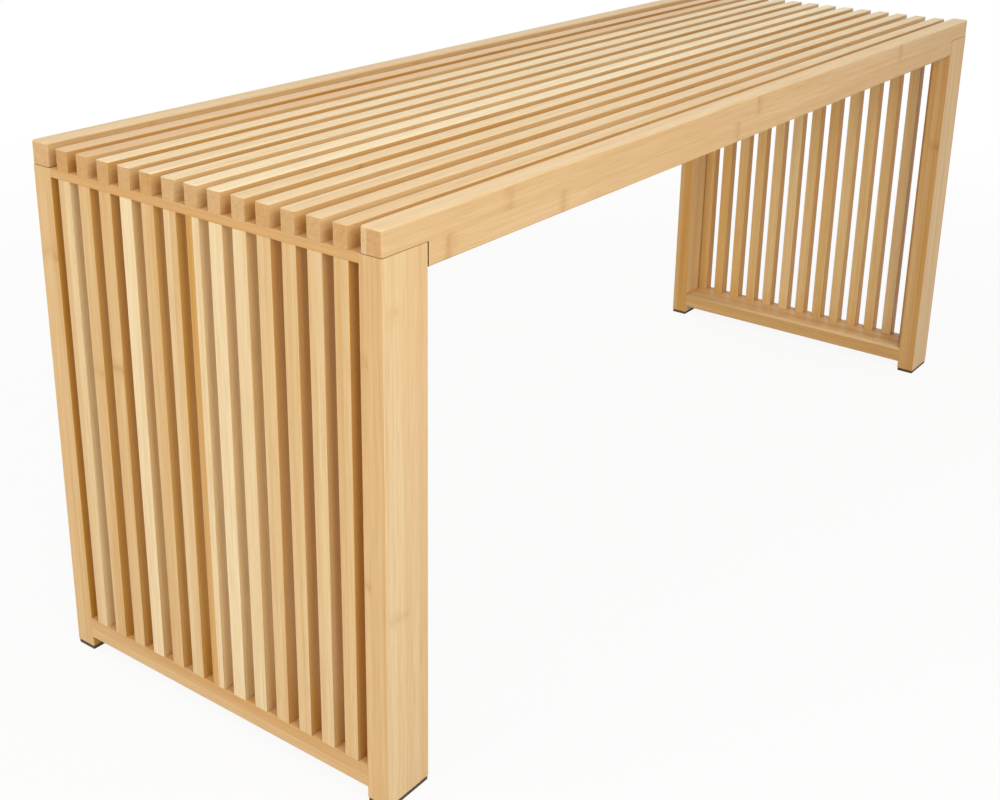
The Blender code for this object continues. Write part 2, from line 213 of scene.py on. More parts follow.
# Strips that show plainly, by piece and face, from the low side of the face to its high side
CHOSEN_STRIPS = {
    "front_rail": {
        "front": [
            # The front deepens towards the far end: painted shade against the sheen that pales it there
            strip("honey", -466, -330, -52, blush=0.2, deepen=0.25),
            strip("honey", -398, -12, 326, blush=0.2, deepen=0.25),
        ],
        "top": [strip("straw", blush=0.1), strip("straw", blush=0.1)],
        "left": [strip("tan", blush=0.5), strip("cream")],
    },
    "back_rail": {
        "top": [strip("straw"), strip("straw")],
    },
    "front_left_post": {
        "front": [
            strip("straw"),
            strip("straw", 390, 159, mark=0.4),
            strip("straw", 157, mark=0.5),
            strip("straw", blush=0.3),
            strip("wheat", blush=0.2),
        ],
        "left": [strip("honey"), strip("honey", blush=0.1), strip("honey", 354, 185, blush=0.2)],
    },
    "back_left_post": {
        "left": [strip("honey", 360), strip("honey", 363, mark=0.4), strip("honey", 358, mark=0.4)],
        # Seen only through the panel's gaps: the deepest tone as painted shade, with the golden tint painted
        # for the shade
        "front": [strip("umber", shade_gold=0.25)] * 5,
    },
    "front_right_post": {
        "left": [strip("tan", 301, mark=1.0), strip("amber", 302, mark=0.5), strip("amber")],
        # The front deepens towards the top: painted shade
        "front": [strip("oat", deepen=0.4), strip("wheat", deepen=0.4)] * 2 + [strip("oat", deepen=0.4)],
    },
    "back_right_post": {
        "left": [strip("tan"), strip("tan"), strip("amber")],
        # In shade under the seat: pale tones as painted light that lifts this face, with the golden tint
        # painted for the shade
        "front": [strip("cream", shade_gold=0.25), strip("pale", shade_gold=0.25)] * 2 + [strip("cream", shade_gold=0.25)],
    },
    "left_lower_crossbar": {
        "left": [strip("honey", blush=0.1), strip("tan", blush=0.3)],
    },
    "left_upper_crossbar": {
        "left": [strip("tan", blush=0.25)],
    },
    "right_lower_crossbar": {
        "left": [strip("amber"), strip("amber")],
        "top": [strip("wheat"), strip("honey"), strip("wheat"), strip("honey")],
    },
}

# Tops of the seat slats, front to back, paler in part by a painted sheen; all are a little deeper at the near
# end by painted shade
SEAT_SHADE_SLOPE = -0.2
SEAT_TOPS = (
    strip("straw"),
    strip("pale", blush=0.15),
    strip("pale"),
    strip("pale"),
    strip("pale"),
    strip("ivory"),
    strip("ivory"),
    strip("cream"),
    strip("cream"),
    strip("cream"),
    strip("cream"),
    strip("wheat", blush=0.4),
    strip("straw", blush=0.4),
)

# Front sides of seat slats that bear a node in plain sight or are plainly deeper than the rest
SEAT_SIDES = {
    "seat_slat_05": {"front": [strip("amber", -418, mark=1.0)]},
    "seat_slat_13": {"front": [strip("tan")]},
}

# Near ends of the seat slats, front to back
SEAT_ENDS = (
    "amber",
    "honey",
    "honey",
    "amber",
    "wheat",
    "wheat",
    "honey",
    "wheat",
    "tan",
    "honey",
    "amber",
    "amber",
    "tan",
)

# Tones of the near end's upright slats, front to back: front and back half of the outer face, then the side
# that faces the front, its mostly dark tone in part painted shade, with its share of the golden tint painted
# for the shade
NEAR_SLAT_TONES = (
    ("wheat", "honey", "tan", 0.05),
    ("straw", "wheat", "amber", 0.0),
    ("wheat", "wheat", "tan", 0.0),
    ("wheat", "wheat", "tan", 0.0),
    ("pale", "pale", "wheat", 0.25),
    ("cream", "cream", "pale", 0.25),
    ("pale", "tan", "cream", 0.25),
    ("wheat", "straw", "bronze", 0.25),
    ("honey", "honey", "tan", 0.25),
    ("cream", "cream", "straw", 0.25),
    ("honey", "honey", "bronze", 0.05),
    ("honey", "honey", "bronze", 0.25),
    ("straw", "wheat", "ivory", 0.25),
)

# Tones of the far end's upright slats on their inner face, front to back, and their share of tint painted for
# shade
FAR_SLAT_TONES = (
    "tan",
    "pale",
    "wheat",
    "wheat",
    "straw",
    "honey",
    "wheat",
    "pale",
    "straw",
    "honey",
    "honey",
    "amber",
    "honey",
)
FAR_SLAT_SHADE_GOLD = 0.25

# Near upright slats with a node on their outer face: its height in millimetres and how strongly it shows
NEAR_SLAT_NODES = {11: (281, 1.0), 12: (272, 0.5)}
NO_NODE = (FAR_AWAY / MM, 0.0)


def grown_strip(face_label, strip_label, mood, spacing, start):
    """A strip left to chance: always the same for its labels, and near in tone to the rest of its face."""
    face_tone = random.Random(face_label).uniform(*mood.tones)
    chance = random.Random(strip_label)
    tone = face_tone + chance.uniform(-mood.spread, mood.spread)
    blush = chance.uniform(0.0, mood.blush)
    mark = chance.uniform(*mood.marks)
    place = start + chance.uniform(0.1, 0.9) * spacing
    nodes = []
    for _ in range(STRIP_NODES):
        nodes.append(place)
        place += spacing * chance.uniform(0.85, 1.25)
    return Strip(tone, blush, mark, nodes)


def add_node(tree, kind, inputs=None, **settings):
    """Add one node to a tree, with its settings, and fill or link its inputs."""
    node = tree.nodes.new("ShaderNode" + kind)
    for name, value in settings.items():
        setattr(node, name, value)
    for socket, value in (inputs or {}).items():
        if isinstance(value, bpy.types.NodeSocket):
            tree.links.new(value, node.inputs[socket])
        else:
            node.inputs[socket].default_value = value
    return node


def opaque(colour):
    return (*colour, 1.0)


def new_finish(name):
    """An empty material and its node tree."""
    material = bpy.data.materials.new(name)
    material.use_nodes = True
    material.node_tree.nodes.clear()
    return material, material.node_tree


def strip_tone(tree, colours, sizes):
    """Colour of a strip before its fibres and nodes, with the strip's attributes."""
    grain = add_node(tree, "Attribute", attribute_name="grain").outputs["Vector"]
    seed = add_node(tree, "Attribute", attribute_name="seed").outputs["Fac"]
    look = add_node(tree, "Attribute", attribute_name="strip").outputs["Vector"]
    tone, blush, mark = add_node(tree, "SeparateXYZ", {0: look}).outputs
    scale = (1 / sizes.streak_length, 1 / sizes.streak_width, 1 / sizes.streak_width)
    place = add_node(tree, "VectorMath", {0: grain, 1: scale}, operation="MULTIPLY").outputs[0]
    streak = add_node(
        tree, "TexNoise", {"Vector": place, "W": seed, "Scale": 1.0, "Detail": 2.0}, noise_dimensions="4D"
    ).outputs[0]
    drift = add_node(
        tree, "MapRange", {"Value": streak, "From Min": 0.3, "From Max": 0.7, "To Min": -0.16, "To Max": 0.16}
    ).outputs[0]
    toned = add_node(tree, "Math", {0: tone, 1: drift}, operation="ADD").outputs[0]
    # Painted shade along a piece: its tone deepens by the slope over the length
    deepen = add_node(tree, "Attribute", attribute_name="deepen").outputs["Fac"]
    along = add_node(tree, "SeparateXYZ", {0: grain}).outputs[0]
    toned = add_node(tree, "Math", {0: along, 1: deepen, 2: toned}, operation="MULTIPLY_ADD").outputs[0]
    colour = add_node(
        tree,
        "Mix",
        {FACTOR: toned, FIRST: opaque(colours.cream), SECOND: opaque(colours.tan)},
        data_type="RGBA",
        clamp_factor=False,
    ).outputs[MIXED]
    colour = add_node(
        tree, "Mix", {FACTOR: blush, FIRST: colour, SECOND: opaque(colours.blush)}, data_type="RGBA"
    ).outputs[MIXED]
    # Below zero, the blush share lays on the golden tint painted on faces in shade
    shade_gold = add_node(tree, "Math", {0: blush, 1: -1.0}, operation="MULTIPLY").outputs[0]
    colour = add_node(
        tree, "Mix", {FACTOR: shade_gold, FIRST: colour, SECOND: opaque(colours.shade_gold)}, data_type="RGBA"
    ).outputs[MIXED]
    return colour, grain, seed, mark


def bamboo_finish(colours, sizes):
    # Laminated bamboo, planed, sanded and satin lacquered: pale strips of unlike tone, fine dark fibres along
    # the grain, a brown line with a stain at each node, and a soft sheen that turns white at a low angle.
    # Real fibre bundles are about 0.4 mm wide; they are drawn wider, as they show in the render.
    material, tree = new_finish("Laminated bamboo, satin lacquer")
    colour, grain, seed, mark = strip_tone(tree, colours, sizes)
    scale = (1 / sizes.fibre_length, 1 / sizes.fibre_width, 1 / sizes.fibre_width)
    place = add_node(tree, "VectorMath", {0: grain, 1: scale}, operation="MULTIPLY").outputs[0]
    fibre = add_node(
        tree, "TexNoise", {"Vector": place, "W": seed, "Scale": 1.0, "Detail": 3.0}, noise_dimensions="4D"
    ).outputs[0]
    fleck = add_node(
        tree, "MapRange", {"Value": fibre, "From Min": 0.45, "From Max": 0.75, "To Min": 0.0, "To Max": 0.26}
    ).outputs[0]
    colour = add_node(
        tree, "Mix", {FACTOR: fleck, FIRST: colour, SECOND: opaque(colours.fibre)}, data_type="RGBA"
    ).outputs[MIXED]

    nodes = add_node(tree, "Attribute", attribute_name="nodes").outputs["Vector"]
    along = add_node(tree, "SeparateXYZ", {0: grain}).outputs[0]
    blotch_length = 9 * MM
    blotch_width = 6 * MM
    bend_reach = 3 * MM
    blotch_scale = (1 / blotch_length, 1 / blotch_width, 1 / blotch_width)
    place = add_node(tree, "VectorMath", {0: grain, 1: blotch_scale}, operation="MULTIPLY").outputs[0]
    blotch = add_node(
        tree, "TexNoise", {"Vector": place, "W": seed, "Scale": 1.0, "Detail": 2.0}, noise_dimensions="4D"
    ).outputs[0]
    bend = add_node(
        tree,
        "MapRange",
        {"Value": blotch, "From Min": 0.3, "From Max": 0.7, "To Min": -bend_reach, "To Max": bend_reach},
    ).outputs[0]
    bent = add_node(tree, "Math", {0: along, 1: bend}, operation="ADD").outputs[0]
    apart = add_node(tree, "VectorMath", {0: bent, 1: nodes}, operation="SUBTRACT").outputs[0]
    apart = add_node(tree, "VectorMath", {0: apart}, operation="ABSOLUTE").outputs[0]
    first, second, third = add_node(tree, "SeparateXYZ", {0: apart}).outputs
    nearest = add_node(tree, "Math", {0: first, 1: second}, operation="MINIMUM").outputs[0]
    nearest = add_node(tree, "Math", {0: nearest, 1: third}, operation="MINIMUM").outputs[0]
    line = add_node(
        tree,
        "MapRange",
        {"Value": nearest, "From Min": 0.0, "From Max": 2 * sizes.node_line, "To Min": 0.5, "To Max": 0.0},
        interpolation_type="SMOOTHSTEP",
    ).outputs[0]
    halo = add_node(
        tree,
        "MapRange",
        {"Value": nearest, "From Min": 0.0, "From Max": sizes.node_halo, "To Min": 0.25, "To Max": 0.0},
        interpolation_type="SMOOTHSTEP",
    ).outputs[0]
    patch = add_node(
        tree, "MapRange", {"Value": blotch, "From Min": 0.35, "From Max": 0.65, "To Min": 0.1, "To Max": 1.0}
    ).outputs[0]
    stain = add_node(tree, "Math", {0: line, 1: patch, 2: halo}, operation="MULTIPLY_ADD").outputs[0]
    stain = add_node(tree, "Math", {0: stain, 1: mark}, operation="MULTIPLY").outputs[0]
    colour = add_node(
        tree, "Mix", {FACTOR: stain, FIRST: colour, SECOND: opaque(colours.node)}, data_type="RGBA"
    ).outputs[MIXED]

    roughness = add_node(
        tree, "MapRange", {"Value": fibre, "From Min": 0.3, "From Max": 0.7, "To Min": 0.36, "To Max": 0.48}
    ).outputs[0]
    bump = add_node(tree, "Bump", {"Height": fibre, "Strength": 0.25, "Distance": 0.08 * MM}).outputs[0]
    shader = add_node(
        tree,
        "BsdfPrincipled",
        {"Base Color": colour, "Roughness": roughness, "IOR": 1.5, "Specular IOR Level": 0.3, "Normal": bump},
    )
    add_node(tree, "OutputMaterial", {"Surface": shader.outputs[0]})
    return material


def end_grain_finish(colours, sizes):
    # Bamboo cut across its fibres and sanded: darker and pinker than the long faces, dotted with fibre
    # bundles. Their real pitch is about 0.8 mm; it is drawn wider, as it shows in the render.
    material, tree = new_finish("Bamboo end grain, sanded")
    colour, grain, seed, _ = strip_tone(tree, colours, sizes)
    colour = add_node(
        tree, "Mix", {FACTOR: 0.5, FIRST: colour, SECOND: opaque(colours.end_grain)}, data_type="RGBA"
    ).outputs[MIXED]
    scale = (0.0, 1 / sizes.pore_pitch, 1 / sizes.pore_pitch)
    place = add_node(tree, "VectorMath", {0: grain, 1: scale}, operation="MULTIPLY").outputs[0]
    bundle = add_node(
        tree, "TexVoronoi", {"Vector": place, "W": seed, "Scale": 1.0}, voronoi_dimensions="4D"
    ).outputs["Distance"]
    dots = add_node(
        tree, "MapRange", {"Value": bundle, "From Min": 0.15, "From Max": 0.7, "To Min": 0.28, "To Max": 0.0}
    ).outputs[0]
    colour = add_node(
        tree, "Mix", {FACTOR: dots, FIRST: colour, SECOND: opaque(colours.bundle)}, data_type="RGBA"
    ).outputs[MIXED]
    roughness = add_node(
        tree, "MapRange", {"Value": bundle, "From Min": 0.0, "From Max": 0.8, "To Min": 0.62, "To Max": 0.5}
    ).outputs[0]
    bump = add_node(tree, "Bump", {"Height": bundle, "Strength": 0.3, "Distance": 0.1 * MM}).outputs[0]
    shader = add_node(
        tree,
        "BsdfPrincipled",
        {"Base Color": colour, "Roughness": roughness, "IOR": 1.5, "Specular IOR Level": 0.3, "Normal": bump},
    )
    add_node(tree, "OutputMaterial", {"Surface": shader.outputs[0]})
    return material


def joint_shade_finish(colours):
    # Painted shade on bamboo inside a joint: the faces in the gaps are painted dark brown and uneven, so that
    # the gap shows as a dark thin line.
    material, tree = new_finish("Bamboo joint, painted shade")
    grain = add_node(tree, "Attribute", attribute_name="grain").outputs["Vector"]
    smear_size = 12 * MM
    smear = add_node(tree, "TexNoise", {"Vector": grain, "Scale": 1 / smear_size, "Detail": 3.0}).outputs[0]
    share = add_node(
        tree, "MapRange", {"Value": smear, "From Min": 0.35, "From Max": 0.75, "To Min": 0.0, "To Max": 0.5}
    ).outputs[0]
    colour = add_node(
        tree,
        "Mix",
        {FACTOR: share, FIRST: opaque(colours.glue), SECOND: opaque(colours.bundle)},
        data_type="RGBA",
    ).outputs[MIXED]
    shader = add_node(
        tree, "BsdfPrincipled", {"Base Color": colour, "Roughness": 0.7, "Specular IOR Level": 0.3}
    )
    add_node(tree, "OutputMaterial", {"Surface": shader.outputs[0]})
    return material


def beech_finish(colours):
    # Turned beech dowel, raw: pinkish brown with short dark flecks along its length.
    material, tree = new_finish("Beech dowel, raw")
    place = add_node(tree, "TexCoord").outputs["Object"]
    fleck_width = 0.8 * MM
    fleck_length = 3 * MM
    fleck_scale = (1 / fleck_width, 1 / fleck_width, 1 / fleck_length)
    place = add_node(tree, "VectorMath", {0: place, 1: fleck_scale}, operation="MULTIPLY").outputs[0]
    fleck = add_node(tree, "TexNoise", {"Vector": place, "Scale": 1.0, "Detail": 2.0}).outputs[0]
    share = add_node(
        tree, "MapRange", {"Value": fleck, "From Min": 0.5, "From Max": 0.75, "To Min": 0.0, "To Max": 0.5}
    ).outputs[0]
    colour = add_node(
        tree,
        "Mix",
        {FACTOR: share, FIRST: opaque(colours.dowel), SECOND: opaque(colours.bundle)},
        data_type="RGBA",
    ).outputs[MIXED]
    bump = add_node(tree, "Bump", {"Height": fleck, "Strength": 0.3, "Distance": 0.1 * MM}).outputs[0]
    shader = add_node(tree, "BsdfPrincipled", {"Base Color": colour, "Roughness": 0.65, "Normal": bump})
    add_node(tree, "OutputMaterial", {"Surface": shader.outputs[0]})
    return material


def rubber_finish(colours):
    # Moulded foot-pad rubber: near black, matt, with a fine grain and a little dust that lightens it.
    material, tree = new_finish("Moulded rubber, matt")
    place = add_node(tree, "TexCoord").outputs["Object"]
    grit_size = 0.7 * MM
    grit = add_node(tree, "TexNoise", {"Vector": place, "Scale": 1 / grit_size, "Detail": 3.0}).outputs[0]
    dust = add_node(
        tree, "MapRange", {"Value": grit, "From Min": 0.4, "From Max": 0.8, "To Min": 0.0, "To Max": 0.25}
    ).outputs[0]
    colour = add_node(
        tree,
        "Mix",
        {FACTOR: dust, FIRST: opaque(colours.rubber), SECOND: opaque(colours.bundle)},
        data_type="RGBA",
    ).outputs[MIXED]
    bump = add_node(tree, "Bump", {"Height": grit, "Strength": 0.4, "Distance": 0.15 * MM}).outputs[0]
    shader = add_node(tree, "BsdfPrincipled", {"Base Color": colour, "Roughness": 0.75, "Normal": bump})
    add_node(tree, "OutputMaterial", {"Surface": shader.outputs[0]})
    return material


def shown_to_eye(tree):
    """Share of a ray that looks at the stage itself, straight or in a reflection."""
    path = add_node(tree, "LightPath").outputs
    seen = add_node(tree, "Math", {0: path["Is Camera Ray"], 1: path["Is Glossy Ray"]}, operation="MAXIMUM")
    seen = add_node(tree, "Math", {0: seen.outputs[0], 1: path["Is Transmission Ray"]}, operation="MAXIMUM")
    return seen.outputs[0]


def floor_finish(colours):
    # Matt studio paper: pale, keeps the soft shadow of the bench, and fades to plain white away from it.
    material, tree = new_finish("Studio paper, matt")
    place = add_node(tree, "TexCoord").outputs["Object"]
    reach = add_node(tree, "VectorMath", {0: place}, operation="LENGTH").outputs["Value"]
    shadow_reach = 0.7
    white_reach = 1.9
    fade = add_node(
        tree,
        "MapRange",
        {"Value": reach, "From Min": shadow_reach, "From Max": white_reach, "To Min": 0.92, "To Max": 1.0},
        interpolation_type="SMOOTHSTEP",
    ).outputs[0]
    white = add_node(tree, "Math", {0: fade, 1: shown_to_eye(tree)}, operation="MULTIPLY").outputs[0]
    paper = add_node(tree, "BsdfDiffuse", {"Color": opaque(colours.floor)}).outputs[0]
    glow = add_node(tree, "Emission", {"Color": WHITE, "Strength": 1.0}).outputs[0]
    surface = add_node(tree, "MixShader", {0: white, 1: paper, 2: glow}).outputs[0]
    add_node(tree, "OutputMaterial", {"Surface": surface})
    return material


# Materials made so far, by a short word
MADE_FINISHES = {}


def finishes(scene):
    """The bench's materials by a short word, made on first use."""
    colours = scene.bench_colours
    sizes = scene.bench_sizes
    makers = {
        "bamboo": lambda: bamboo_finish(colours, sizes),
        "end grain": lambda: end_grain_finish(colours, sizes),
        # The joint finish is painted shade for the faces inside the gaps
        "glue": lambda: joint_shade_finish(colours),
        "beech": lambda: beech_finish(colours),
        "rubber": lambda: rubber_finish(colours),
        "floor": lambda: floor_finish(colours),
    }
    for word, make in makers.items():
        if word not in MADE_FINISHES:
            MADE_FINISHES[word] = make()
    return MADE_FINISHES


def add_piece(name, builder, materials, node):
    """Turn a finished bmesh into a piece that stands for a CAD node and rides on the bench."""
    if not builder.faces:
        raise RuntimeError(f"{name} has no faces")
    mesh = bpy.data.meshes.new(name)
    builder.to_mesh(mesh)
    builder.free()
    for material in materials:
        mesh.materials.append(material)
    piece = bpy.data.objects.new(name, mesh)
    bpy.context.scene.collection.objects.link(piece)
    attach(piece, BODY)
    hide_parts(node)
    return piece


class Board:
    """A bamboo piece in the making: its mesh, the way its grain runs and where its glue lines lie."""

    round_steps = 5
    # Slope above which a rounded edge takes the look of the top
    rim_share = 0.1
    # Places of a board's finishes among its material slots
    long_slot, end_slot, joint_slot = 0, 1, 2

    def __init__(self, node, run, low=None, high=None):
        self.node = node
        self.run = run
        box_low, box_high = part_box(node)
        self.low = box_low if low is None else low
        self.high = box_high if high is None else high
        self.glue = {X: [], Y: [], Z: []}
        self.joints = []
        self.builder = bmesh.new()

    def block(self):
        """Start as a plain block that fills the board's box."""
        place = Matrix.LocRotScale((self.low + self.high) / 2, None, self.high - self.low)
        bmesh.ops.create_cube(self.builder, size=1.0, matrix=place)
        return self

    def edges(self, axis, *planes):
        """Edges that run along an axis and lie in every given plane, an axis with a place on it."""
        found = []
        for edge in self.builder.edges:
            start, end = (vert.co for vert in edge.verts)
            runs = abs((end - start).normalized()[axis]) > STRAIGHT
            inside = all(abs(point[side] - place) < TOUCH for point in (start, end) for side, place in planes)
            if runs and inside:
                found.append(edge)
        return found

    def end_rims(self, *places):
        """Edges round the end faces at the given places along the grain."""
        return [
            edge
            for edge in self.builder.edges
            if any(all(abs(vert.co[self.run] - place) < TOUCH for vert in edge.verts) for place in places)
        ]

    def round_off(self, edges, radius):
        made = bmesh.ops.bevel(
            self.builder,
            geom=edges,
            offset=radius,
            offset_type="OFFSET",
            segments=self.round_steps,
            profile=0.5,
            affect="EDGES",
            material=-1,
            clamp_overlap=True,
        )
        for face in made["faces"]:
            face.smooth = True

    def glue_up(self, axis, widths):
        """Cut the mesh along the glue lines between strips of these widths, from the low side."""
        normal = Vector((0.0, 0.0, 0.0))
        normal[axis] = 1.0
        place = self.low[axis]
        for width in widths:
            place += width
            self.glue[axis].append(place)
            whole = self.builder.verts[:] + self.builder.edges[:] + self.builder.faces[:]
            bmesh.ops.bisect_plane(
                self.builder, geom=whole, dist=TOUCH, plane_co=normal * place, plane_no=normal
            )

    def strip_at(self, face):
        """Whether this bit of surface is a cut end, the word of its face, and its strip's place there."""
        axis = max((X, Y, Z), key=lambda side: abs(face.normal[side]))
        if self.run != Z and face.normal.z > self.rim_share:
            axis = Z
        word = FACE_WORDS[axis, face.normal[axis] > 0]
        centre = face.calc_center_median()
        bands = [
            sum(centre[side] > place for place in self.glue[side])
            for side in (X, Y, Z)
            if side not in (axis, self.run)
        ]
        return axis == self.run, word, tuple(bands)

    def is_joint(self, face):
        """Whether this bit of surface lies in one of the board's glued joint planes."""
        centre = face.calc_center_median()
        return any(
            abs(centre[side] - place) < TOUCH and abs(face.normal[side]) > STRAIGHT
            for side, place in self.joints
        )

    def finish(self, scene, mood, chosen=None):
        """Lay the strips' looks on the mesh and make it the piece that stands for its node."""
        chosen = chosen or CHOSEN_STRIPS.get(self.node, {})
        spacing = scene.bench_sizes.node_spacing
        builder = self.builder
        grain = builder.verts.layers.float_vector.new("grain")
        look = builder.faces.layers.float_vector.new("strip")
        nodes = builder.faces.layers.float_vector.new("nodes")
        seed = builder.faces.layers.float.new("seed")
        deepen = builder.faces.layers.float.new("deepen")
        across = [side for side in (X, Y, Z) if side != self.run]
        for vert in builder.verts:
            vert[grain] = (vert.co[self.run], vert.co[across[0]], vert.co[across[1]])
        builder.normal_update()
        for face in builder.faces:
            is_end, word, bands = self.strip_at(face)
            face_label = f"{self.node} {word}"
            label = f"{face_label} {bands}"
            if word in chosen:
                own = chosen[word][bands[0]]
            else:
                own = grown_strip(face_label, label, mood, spacing, self.low[self.run])
            face[look] = (own.tone, own.blush, own.mark)
            face[nodes] = (own.nodes + [FAR_AWAY] * STRIP_NODES)[:STRIP_NODES]
            face[seed] = random.Random(label + " seed").uniform(0.0, SEED_REACH)
            face[deepen] = own.deepen
            slot = self.end_slot if is_end else self.long_slot
            face.material_index = self.joint_slot if self.is_joint(face) else slot
        made = finishes(scene)
        materials = [made["bamboo"], made["end grain"]]
        # Faces inside the joints take the painted shade
        if self.joints:
            materials.append(made["glue"])
        return add_piece(self.node + "_bamboo", builder, materials, self.node)


def nodes_named(start):
    return sorted(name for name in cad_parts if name.startswith(start))


class BENCH_OT_side_rails(bpy.types.Operator):
    """Make the two side rails, notched at their ends to sit over the posts"""

    bl_idname = "bench.side_rails"
    bl_label = "Side Rails"

    # Width of the strip that faces the seat slats
    inner_ply = 5.5 * MM

    def execute(self, context):
        sizes = context.scene.bench_sizes
        for side in ("front", "back"):
            rail = Board(side + "_rail", X)
            post_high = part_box(side + "_left_post")[1]
            shoulder = post_high.x + sizes.shoulder_gap
            tongue = post_high.z + sizes.seat_gap
            low, high = rail.low, rail.high
            outline = (
                (low.x, tongue),
                (shoulder, tongue),
                (shoulder, low.z),
                (-shoulder, low.z),
                (-shoulder, tongue),
                (high.x, tongue),
                (high.x, high.z),
                (low.x, high.z),
            )
            corners = [rail.builder.verts.new((x, low.y, z)) for x, z in outline]
            face = rail.builder.faces.new(corners)
            made = bmesh.ops.extrude_face_region(rail.builder, geom=[face])
            moved = [item for item in made["geom"] if isinstance(item, bmesh.types.BMVert)]
            bmesh.ops.translate(rail.builder, vec=(0, high.y - low.y, 0), verts=moved)
            bmesh.ops.recalc_face_normals(rail.builder, faces=rail.builder.faces[:])
            outer = rail.edges(X, (Z, high.z)) + rail.edges(X, (Z, low.z))
            for end in (low.x, high.x):
                outer += rail.edges(Y, (X, end), (Z, high.z)) + rail.edges(Z, (X, end))
            rail.round_off(outer, sizes.edge_round)
            outer_ply = high.y - low.y - self.inner_ply
            rail.glue_up(Y, (outer_ply,) if side == "front" else (self.inner_ply,))
            rail.glue_up(Z, ((high.z - low.z) / 2,))
            rail.joints = [(X, shoulder), (X, -shoulder), (Z, tongue)]
            rail.finish(context.scene, RAIL_MOOD)
        return {"FINISHED"}


class BENCH_OT_seat_slats(bpy.types.Operator):
    """Make the seat slats, rounded along their edges and at their ends"""

    bl_idname = "bench.seat_slats"
    bl_label = "Seat Slats"

    def execute(self, context):
        sizes = context.scene.bench_sizes
        bar_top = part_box("left_upper_crossbar")[1].z
        for name, top, end in zip(nodes_named("seat_slat_"), SEAT_TOPS, SEAT_ENDS):
            low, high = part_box(name)
            low.z = bar_top
            slat = Board(name, X, low, high).block()
            slat.round_off(slat.edges(X, (Z, high.z)) + slat.edges(Y, (Z, high.z)), sizes.seat_round)
            slat.round_off(slat.edges(Z), sizes.slat_round)
            # The tops deepen towards the near end: painted shade where the side lamp lights them most
            top = top._replace(deepen=SEAT_SHADE_SLOPE)
            chosen = {"top": [top], "left": [strip(end)], **SEAT_SIDES.get(name, {})}
            slat.finish(context.scene, SEAT_MOOD, chosen)
        return {"FINISHED"}


class BENCH_OT_seat_battens(bpy.types.Operator):
    """Make the battens that carry the seat slats from rail to rail"""

    bl_idname = "bench.seat_battens"
    bl_label = "Seat Battens"

    strips = 3

    def execute(self, context):
        sizes = context.scene.bench_sizes
        rail_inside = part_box("front_rail")[1].y
        for name in nodes_named("seat_batten_"):
            low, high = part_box(name)
            low.y = rail_inside
            high.y = -rail_inside
            batten = Board(name, Y, low, high).block()
            batten.round_off(batten.edges(Y), sizes.edge_round)
            width = (high.x - low.x) / self.strips
            batten.glue_up(X, [width] * (self.strips - 1))
            batten.finish(context.scene, HIDDEN_MOOD)
        return {"FINISHED"}


class BENCH_OT_posts(bpy.types.Operator):
    """Make the four corner posts"""

    bl_idname = "bench.posts"
    bl_label = "Posts"

    # Widths of the strips along and across the bench, from the low side; the last takes what is left
    strip_widths = {
        "left": (4 * MM, 12 * MM, 8 * MM, 11.5 * MM),
        "right": (10.5 * MM, 11.5 * MM, 8 * MM, 12 * MM),
    }
    plies = (6.5 * MM, 7 * MM)

    def execute(self, context):
        sizes = context.scene.bench_sizes
        for corner in CORNERS:
            side, end = corner.split("_")
            post = Board(corner + "_post", Z).block()
            panel_side = post.high.y if side == "front" else post.low.y
            outer_side = post.low.y if side == "front" else post.high.y
            post.round_off(post.edges(Z, (Y, outer_side)), sizes.post_round)
            post.round_off(post.edges(Z, (Y, panel_side)), sizes.joint_round)
            post.round_off(post.end_rims(post.low.z), sizes.joint_round)
            post.glue_up(X, self.strip_widths[end])
            post.glue_up(Y, self.plies)
            post.finish(context.scene, POST_MOOD)
        return {"FINISHED"}


class BENCH_OT_crossbars(bpy.types.Operator):
    """Make the upper and lower crossbars of both end frames"""

    bl_idname = "bench.crossbars"
    bl_label = "Crossbars"

    strips = 4

    def execute(self, context):
        sizes = context.scene.bench_sizes
        post_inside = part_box("front_left_post")[1].y
        for end in ENDS:
            for level in ("upper", "lower"):
                name = f"{end}_{level}_crossbar"
                low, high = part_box(name)
                low.y = post_inside
                high.y = -post_inside
                bar = Board(name, Y, low, high).block()
                inner = high.x if end == "left" else low.x
                outer = low.x if end == "left" else high.x
                if level == "lower":
                    bar.round_off(bar.edges(Y, (X, inner), (Z, high.z)), sizes.bar_round)
                    bar.round_off(bar.edges(Y, (Z, low.z)), sizes.edge_round)
                    bar.round_off(bar.edges(Y, (X, outer), (Z, high.z)), sizes.joint_round)
                    bar.glue_up(Z, ((high.z - low.z) / 2,))
                else:
                    bar.round_off(bar.edges(Y), sizes.joint_round)
                width = (high.x - low.x) / self.strips
                bar.glue_up(X, [width] * (self.strips - 1))
                bar.finish(context.scene, BAR_MOOD)
        return {"FINISHED"}


